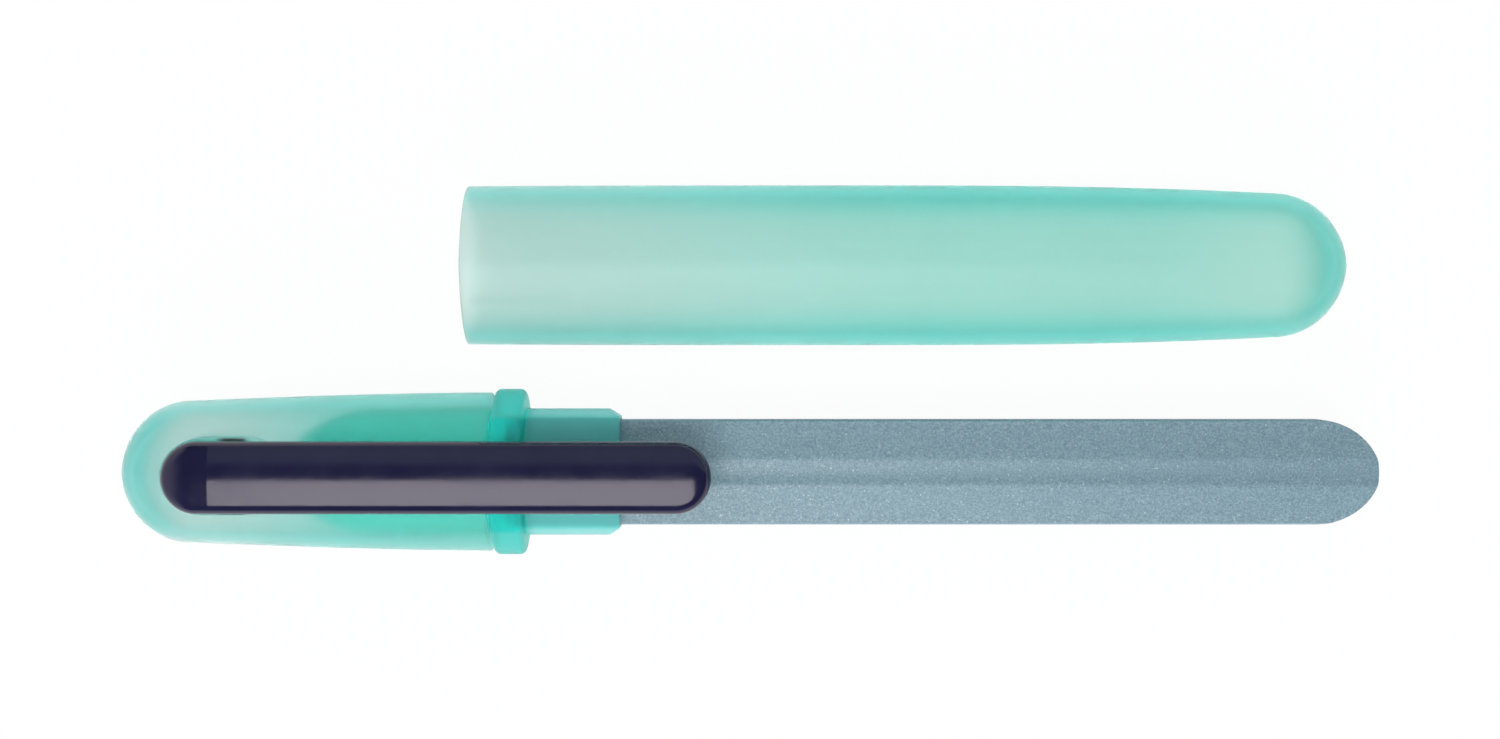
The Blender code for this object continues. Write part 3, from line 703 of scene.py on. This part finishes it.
clip = dict(
    start=6.8 * mm, end=65.9 * mm, width=7.8 * mm, under=6.65 * mm, top=8.55 * mm, tail=3.9 * mm,
    ramp=5.5 * mm, rampDrop=0.25 * mm, crease=0.1 * mm, noseRoll=1.8 * mm, noseDrop=0.15 * mm,
    edge=1.0 * mm, underEdge=0.2 * mm, crown=0.45 * mm, sides=192, edgeSteps=10, crownSteps=14, wallSteps=3,
)
foot = dict(start=9.0 * mm, end=16.0 * mm, width=5.4 * mm, low=4.85 * mm, edge=0.25 * mm)
lugs = dict(start=12.9 * mm, end=15.2 * mm, reach=1.4 * mm, low=5.15 * mm, high=5.55 * mm, edge=0.08 * mm)
bead = dict(middle=60.3 * mm, length=4.0 * mm, width=4.8 * mm, height=0.55 * mm, sides=48, rings=24)
land = dict(start=46.5 * mm, end=57.5 * mm, ramp=0.5 * mm, height=0.1 * mm)
clipLook = dict(
    color=(0.0085, 0.0085, 0.033), faded=(0.012, 0.012, 0.040), gloss=(1.0, 0.92, 0.97), ior=1.5,
    roughness=0.10, smudges=0.07, hazeSize=5.0 * mm, hazeDetail=4.0, fineSize=0.5 * mm, fineDetail=3.0,
    fineShare=0.5, waveWidth=5.0 * mm, waveLength=14.0 * mm, waviness=0.010 * mm, dustRoughness=0.3,
    dust=dict(size=1.5 * mm, share=0.12, reach=0.06, cover=0.5, color=(0.35, 0.35, 0.38)),
)


def clipMaterial():
    # glossy moulding, slightly wavy, with handling haze and a little dust
    material, tree, shader = newMaterial("clip_plastic")
    look = clipLook
    place = centredPlace(tree, fileAxis)
    haze = addGrain(tree, place, look["hazeSize"], look["hazeDetail"])["Tone"]
    fine = addGrain(tree, place, look["fineSize"], look["fineDetail"])["Tone"]
    waves = addLines(tree, place, look["waveWidth"], look["waveLength"])
    specks = addSpecks(tree, place, look["dust"])
    toned = addMix(tree, haze, look["color"], look["faded"])
    tree.links.new(coverWithDust(tree, look["dust"], specks, toned), shader.inputs["Base Color"])
    tones = addMath(tree, "MULTIPLY_ADD", fine, look["fineShare"], haze)
    smooth, smudged = look["roughness"], look["roughness"] + look["smudges"]
    rough = addRange(tree, tones, 0.0, 1 + look["fineShare"], smooth, smudged)
    dull = addMath(tree, "MULTIPLY_ADD", specks["Mask"], look["dustRoughness"], rough)
    tree.links.new(dull, shader.inputs["Roughness"])
    shader.inputs["IOR"].default_value = look["ior"]
    shader.inputs["Specular Tint"].default_value = (*look["gloss"], 1.0)
    addBump(tree, shader, waves, look["waviness"])
    return material


def clipPlan(angle, inset):
    # a point of the clip's outline from above, drawn in by an inset
    half = clip["width"] / 2
    along, across = math.cos(angle), math.sin(angle)
    if along > 0:
        return clip["end"] - half + (half - inset) * along, (half - inset) * across
    return clip["start"] + clip["tail"] + (clip["tail"] - inset) * along, (half - inset) * across


def clipFall(x, inset):
    # how far the upper face lies below the clip's top, apart from the fall to the tail
    half, edge = clip["width"] / 2, clip["edge"]
    fall = 0.0
    if inset < edge:
        fall += edge - math.sqrt(max(0.0, edge**2 - (edge - inset) ** 2))
    fall += clip["crown"] * (1 - inset / half) ** 2
    along = min(1.0, max(0.0, 1 - (clip["end"] - x) / clip["noseRoll"]))
    return fall + clip["noseDrop"] * (1 - math.sqrt(1 - along**2))


def lowerTail(bm):
    # the upper face runs down to the tail from a crease, which three close cuts keep crisp
    crease, floor = clip["start"] + clip["ramp"], clip["under"] + clip["underEdge"]
    for side in (-1, 0, 1):
        cutAcross(bm, (crease + side * clip["crease"], 0.0, 0.0), (1.0, 0.0, 0.0), drop=False)
    for vert in bm.verts:
        if vert.co.z > floor and vert.co.x < crease:
            fall = clip["rampDrop"] * (crease - vert.co.x) / clip["ramp"]
            vert.co.z = max(floor, vert.co.z - fall)


def buildClip(material):
    half = clip["width"] / 2
    bm = bmesh.new()
    circle = bmesh.ops.create_circle(bm, segments=clip["sides"], radius=1.0)["verts"]
    shift = math.pi / clip["sides"]        # so that no point lies where a long side meets a round end
    loop = list(dict.fromkeys(edge for vert in circle for edge in vert.link_edges))
    order = {vert: math.atan2(vert.co.y, vert.co.x) + shift for vert in circle}

    def setLoop(loop, inset, height):
        for vert in vertsOf(loop):
            x, y = clipPlan(order[vert], inset)
            vert.co = (x, y, height(x))

    def nextLoop(loop):
        before = set(vertsOf(loop))
        grown = growLoop(bm, loop)
        for vert in vertsOf(grown):
            ends = [link.other_vert(vert) for link in vert.link_edges]
            order[vert] = next(order[end] for end in ends if end in before)
        return grown

    def topHeight(inset):
        def height(x):
            return max(clip["under"] + clip["underEdge"], clip["top"] - clipFall(x, inset))
        return height

    low, edge = clip["under"], clip["underEdge"]
    setLoop(loop, half, lambda x: low)
    loop = nextLoop(loop)
    setLoop(loop, edge, lambda x: low)
    for i in range(1, clip["wallSteps"] + 1):
        turn = math.pi / 2 * i / clip["wallSteps"]
        loop = nextLoop(loop)
        setLoop(loop, edge * (1 - math.sin(turn)), lambda x, t=turn: low + edge * (1 - math.cos(t)))
    turns = [math.pi / 2 * i / clip["edgeSteps"] for i in range(clip["edgeSteps"] + 1)]
    insets = [clip["edge"] * (1 - math.cos(turn)) for turn in turns]
    crownRun, crownSteps = half - clip["edge"], clip["crownSteps"]
    insets += [clip["edge"] + crownRun * i / crownSteps for i in range(1, crownSteps + 1)]
    for inset in insets:
        loop = nextLoop(loop)
        setLoop(loop, inset, topHeight(inset))
    lowerTail(bm)
    piece = finishMesh("spring_clip", bm, fileFrame, material)
    footHalf, lugHalf = foot["width"] / 2, foot["width"] / 2 + lugs["reach"]
    steps = [
        (block("foot_form", (foot["start"], -footHalf, foot["low"]), (foot["end"], footHalf, low + edge),
               foot["edge"]), "UNION"),
        (block("lug_form", (lugs["start"], -lugHalf, lugs["low"]), (lugs["end"], lugHalf, lugs["high"]),
               lugs["edge"]), "UNION"),
        (beadForm(), "UNION"),
        (landForm(), "UNION"),
    ]
    carve(piece, steps)
    dress(piece, "clip", "pocket_clip")


def beadForm():
    bm = bmesh.new()
    bmesh.ops.create_uvsphere(bm, u_segments=bead["sides"], v_segments=bead["rings"], radius=0.5)
    bmesh.ops.scale(bm, verts=bm.verts, vec=(bead["length"], bead["width"], 2 * bead["height"]))
    bmesh.ops.translate(bm, verts=bm.verts, vec=(bead["middle"], 0.0, clip["under"]))
    return finishMesh("bead_form", bm, fileFrame, None)


def landForm():
    # a low pad with a ramp at each end
    width, middle = clip["width"] - 2 * clip["underEdge"], (land["start"] + land["end"]) / 2
    bm = bmesh.new()
    bmesh.ops.create_cube(bm, size=1.0)
    bmesh.ops.scale(bm, vec=(land["end"] - land["start"], width, 2 * land["height"]), verts=bm.verts)
    bmesh.ops.translate(bm, vec=(middle, 0.0, clip["under"]), verts=bm.verts)
    for vert in bm.verts:
        if vert.co.z < clip["under"]:
            vert.co.x += math.copysign(land["ramp"], middle - vert.co.x)
    return finishMesh("land_form", bm, fileFrame, None)


# Cap

cap = dict(
    length=capHigh.x - capLow.x, nose=8.1 * mm, waistStart=50.4 * mm, waistEnd=72.4 * mm,
    shoulder=(16.17 * mm, 10.4 * mm), waist=(17.93 * mm, 11.54 * mm), mouth=(17.73 * mm, 11.4 * mm),
    bow=2.5, flare=2.0, wall=1.5 * mm, endWall=2.6 * mm, lip=0.2 * mm, noseSteps=24, runSteps=36,
    lipSteps=4,
)
capLook = dict(
    zones=[
        dict(middle=(0.90, 0.85, 0.81), side=(0.46, 0.80, 0.76)),
        dict(start=8.0 * mm, full=22.0 * mm, middle=(0.81, 0.83, 0.79), side=(0.46, 0.80, 0.76)),
        dict(start=40.0 * mm, full=108.0 * mm, middle=(0.95, 0.82, 0.80), side=(0.84, 0.84, 0.82)),
    ],
    uneven=(0.96, 0.94, 0.92), band=(0.45, 0.70, 0.65), sideStart=4.0 * mm, sideEnd=8.8 * mm,
    through=(0.0, 0.87, 0.833), density=270.0, fuzz=0.0, transmission=0.92, roughness=(0.70, 0.76),
    ior=1.17, sheen=0.7, sheenRoughness=0.45, cloudSize=12.0 * mm, frostSize=0.35 * mm,
    lineWidth=1.6 * mm, lineLength=60.0 * mm, unevenness=0.15, relief=0.006 * mm,
)
ribs = dict(
    length=9.5 * mm, width=0.6 * mm, height=0.15 * mm, spacing=8.0 * mm, setback=1.0 * mm, edgeSteps=2,
)


def ribForm(side, face):
    # a low grip rib inside the mouth, rooted in the wall
    halfWidth, halfThickness = sleeveHalfSizes(cap, cap["length"], cap["wall"])
    share = ribs["spacing"] / 2 / halfWidth
    surface = halfThickness * (1 - share ** lens["power"]) ** (1 / lens["power"])
    low, high = surface - ribs["height"], surface + cap["wall"] / 2
    bm = bmesh.new()
    bmesh.ops.create_cube(bm, size=1.0)
    bmesh.ops.scale(bm, vec=(ribs["length"], ribs["width"], high - low), verts=bm.verts)
    middle = cap["length"] - ribs["setback"] - ribs["length"] / 2
    place = (middle, side * ribs["spacing"] / 2, face * (low + high) / 2)
    bmesh.ops.translate(bm, vec=place, verts=bm.verts)
    roundEdges(bm, bm.edges, ribs["height"] / 2, ribs["edgeSteps"])
    return finishMesh("rib_form", bm, capFrame, None)


def buildCap(material):
    piece = buildSleeve("pull_cap", cap, capFrame, material)
    carve(piece, [(ribForm(side, face), "UNION") for side in (-1, 1) for face in (-1, 1)])
    dress(piece, "cap", "cap")


# Stage

camera = dict(
    place=(0.067 * mm, 4.76 * mm, 173.3 * mm), lens=35.8, sensor=36.0, near=0.01, far=20.0,
    shiftY=-42.5 / 1500,        # pixels over the picture's width
)
# Lamps in metres and watts
softbox = dict(place=(-0.085, -0.204, 0.6), size=(0.43, 0.25), power=1.66)
sideLight = dict(place=(0.0, -0.75, 0.40), size=(1.0, 0.35), power=4.8)
fillLight = dict(place=(0.0, 0.75, 0.40), size=(1.0, 0.35), power=1.05)
# Where a tone starts and where it is full, as parts of a direction one unit long
studio = dict(
    horizon=(1.0, 1.0, 1.0), ceiling=(0.47, 0.50, 0.53), horizonTop=0.03, ceilingLow=0.20,
    darkSide=(0.03, 0.04, 0.06), litSide=(0.42, 0.52, 0.56), litStart=0.05, litFull=0.14,
    litEnd=(0.95, 0.92, 1.0), endStart=-0.55, endFull=-0.70, flagStart=-0.36, flagFull=-0.40,
    backdrop=(1.0, 1.0, 1.0),
)
floorLook = dict(color=(0.88, 0.88, 0.88), shown=0.95, size=3.0)


def buildCamera():
    data = bpy.data.cameras.new("camera")
    data.lens, data.sensor_width, data.shift_y = camera["lens"], camera["sensor"], camera["shiftY"]
    data.clip_start, data.clip_end = camera["near"], camera["far"]
    bpy.context.scene.camera = addObject("camera", data, camera["place"])


def buildFloor():
    # pale and plain: mostly a white glow where it is seen, so that its shadow stays faint
    material, tree, _ = newMaterial("floor_white")
    tree.nodes.clear()
    path = addNode(tree, "LightPath").outputs
    seen = addMath(tree, "MAXIMUM", path["Is Camera Ray"], path["Is Glossy Ray"])
    through = addMath(tree, "MAXIMUM", seen, path["Is Transmission Ray"])
    share = addMath(tree, "MULTIPLY", through, floorLook["shown"])
    diffuse = addNode(tree, "BsdfDiffuse", {"Color": (*floorLook["color"], 1.0)})
    glow = addNode(tree, "Emission", {"Strength": 1.0})
    mix = addNode(tree, "MixShader", {0: share, 1: diffuse.outputs[0], 2: glow.outputs[0]})
    addNode(tree, "OutputMaterial", {"Surface": mix.outputs[0]})
    bm = bmesh.new()
    bmesh.ops.create_grid(bm, x_segments=1, y_segments=1, size=floorLook["size"])
    mesh = bpy.data.meshes.new("floor")
    bm.to_mesh(mesh)
    bm.free()
    mesh.materials.append(material)
    floor = addObject("floor", mesh)


def buildLight(name, lamp, inReflections=True):
    data = bpy.data.lights.new(name, "AREA")
    data.shape, data.energy = "RECTANGLE", lamp["power"]
    data.size, data.size_y = lamp["size"]
    thing = addObject(name, data, lamp["place"])
    _, y, z = lamp["place"]
    thing.rotation_euler = Vector((0.0, -y, -z)).to_track_quat("-Z", "Y").to_euler()    # long side along X
    thing.visible_glossy = inReflections


def buildWorld():
    # a dim ceiling over a white horizon, a lit side and a lit end that only gloss mirrors, and plain white
    # behind whatever the camera sees
    world = bpy.data.worlds.new("studio")
    world.use_nodes = True
    tree = world.node_tree
    background = tree.nodes["Background"]
    direction = addNode(tree, "TexCoord").outputs["Generated"]
    axes = addNode(tree, "SeparateXYZ", {"Vector": direction}).outputs
    path = addNode(tree, "LightPath").outputs
    lit = addRange(tree, axes["Y"], studio["litStart"], studio["litFull"])
    lit = addMath(tree, "MULTIPLY", lit, addRange(tree, axes["X"], studio["flagFull"], studio["flagStart"]))
    mirrored = addMix(tree, lit, studio["darkSide"], studio["litSide"])
    atEnd = addRange(tree, axes["X"], studio["endStart"], studio["endFull"])
    mirrored = addMix(tree, atEnd, mirrored, studio["litEnd"])
    ceiling = addMix(tree, path["Is Glossy Ray"], studio["ceiling"], mirrored)
    rise = addRange(tree, axes["Z"], studio["horizonTop"], studio["ceilingLow"])
    sky = addMix(tree, rise, studio["horizon"], ceiling)
    seen = addMath(tree, "MAXIMUM", path["Is Camera Ray"], path["Is Transmission Ray"])
    tree.links.new(addMix(tree, seen, sky, studio["backdrop"]), background.inputs["Color"])
    bpy.context.scene.world = world


buildCamera()
buildFloor()
buildWorld()
buildLight("softbox", softbox)
buildLight("side_light", sideLight, inReflections=False)
buildLight("fill_light", fillLight, inReflections=False)
print("stage ready")

# The handle's bands: a deeper tone in its thick nose, and painted shade round the clip's seat
handleBandsAndShade = [(noseBand(handle), handleLook["band"]), (seatRimShade, handleLook["rim"])]
buildHandle(frostedPlastic("handle_plastic", handleLook, fileAxis, bandsAndShade=handleBandsAndShade))
print("handle ready")
buildInsert(frostedPlastic("insert_plastic", insertLook, fileAxis))
print("insert ready")
buildBlade(ceramicMaterial())
print("blade ready")
buildClip(clipMaterial())
print("clip ready")
buildCap(frostedPlastic("cap_plastic", capLook, capAxis, math.pi, [(noseBand(cap), capLook["band"])]))
print("cap ready")

bpy.context.scene.view_settings.view_transform = "Standard"
